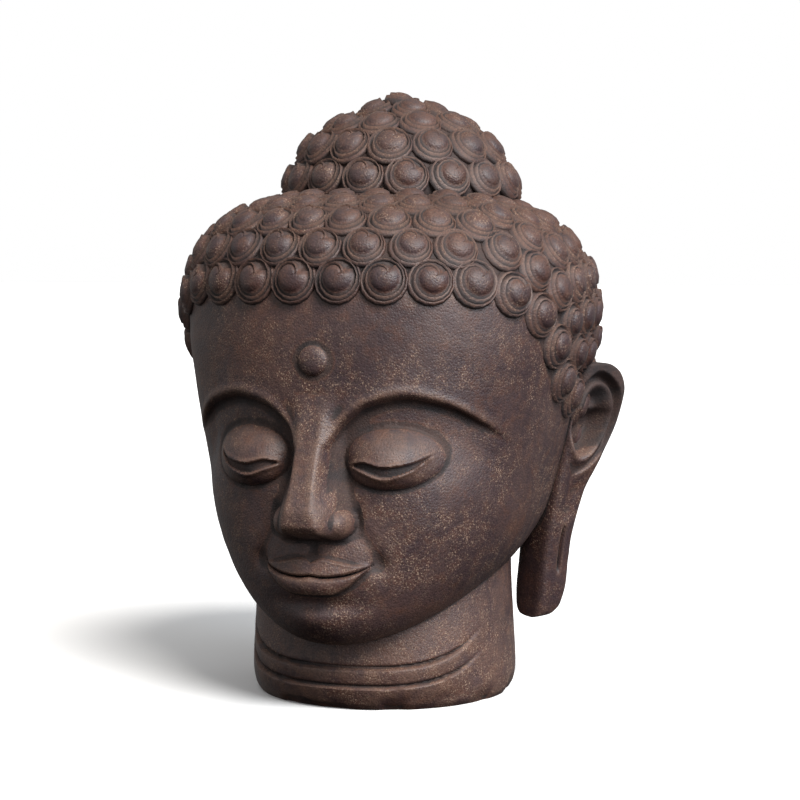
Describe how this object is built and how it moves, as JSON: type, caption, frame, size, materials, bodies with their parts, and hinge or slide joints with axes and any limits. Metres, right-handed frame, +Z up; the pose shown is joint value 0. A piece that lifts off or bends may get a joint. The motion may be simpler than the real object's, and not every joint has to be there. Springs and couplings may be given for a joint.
{
  "type": "buddha head garden sculpture",
  "caption": "Dark brown stone Buddha head with rows of snail-shell curls, a domed topknot, long ear lobes and a flat-cut neck that it stands on.",
  "frame": {"origin": "centre of the bounding box on the flat underside of the neck", "axes": "+Z up, the face looks along -Y, +X is the statue's own left"},
  "size_m": [0.4412, 0.4798, 0.5992],
  "materials": {
    "brown_stone": "matte"
  },
  "bodies": {
    "root": {"buddha_head": "brown_stone"}
  },
  "joints": []
}
